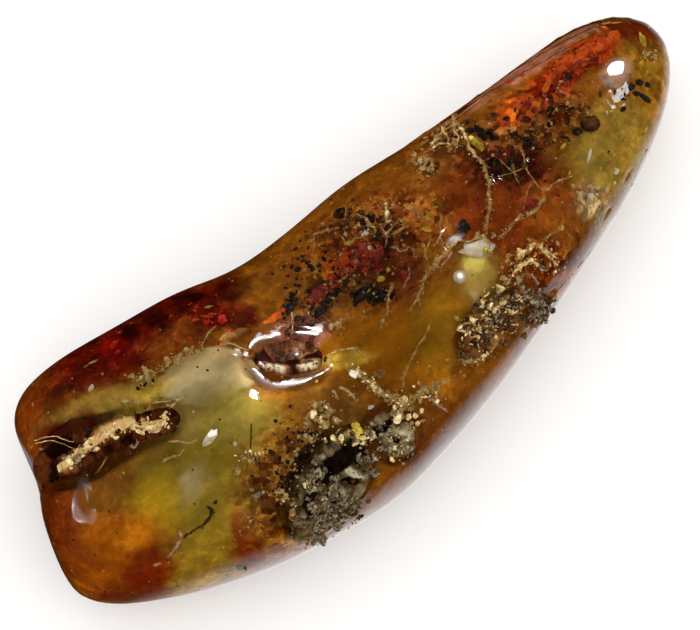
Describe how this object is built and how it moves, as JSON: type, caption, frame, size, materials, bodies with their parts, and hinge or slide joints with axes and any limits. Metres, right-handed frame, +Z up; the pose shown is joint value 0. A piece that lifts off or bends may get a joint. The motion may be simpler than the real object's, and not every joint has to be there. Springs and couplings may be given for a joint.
{
  "type": "tumbled amber",
  "caption": "Elongated tumbled amber pebble, see-through, with a cleft, an eye-shaped dimple and open pits holding matrix and bark.",
  "frame": {"origin": "middle of the underside, on the surface the pebble rests on", "axes": "+X along the pebble from its broad lobed end to its rounded tip, +Y from the steep near edge to the far edge, +Z up"},
  "size_m": [0.0504, 0.0196, 0.0114],
  "materials": {
    "amber": "tumbled and polished fossil resin, see-through brown to golden",
    "matrix": "rough sandy matrix, grey-white",
    "bark": "fibrous fossil bark, matte",
    "crust": "granular brown crust, matte"
  },
  "bodies": {
    "root": {"amber": "amber", "pit_matrix": "matrix", "knob_matrix": "matrix", "cleft_bark": "bark", "notch_crust": "crust", "dimple_bark": "bark"}
  },
  "joints": []
}
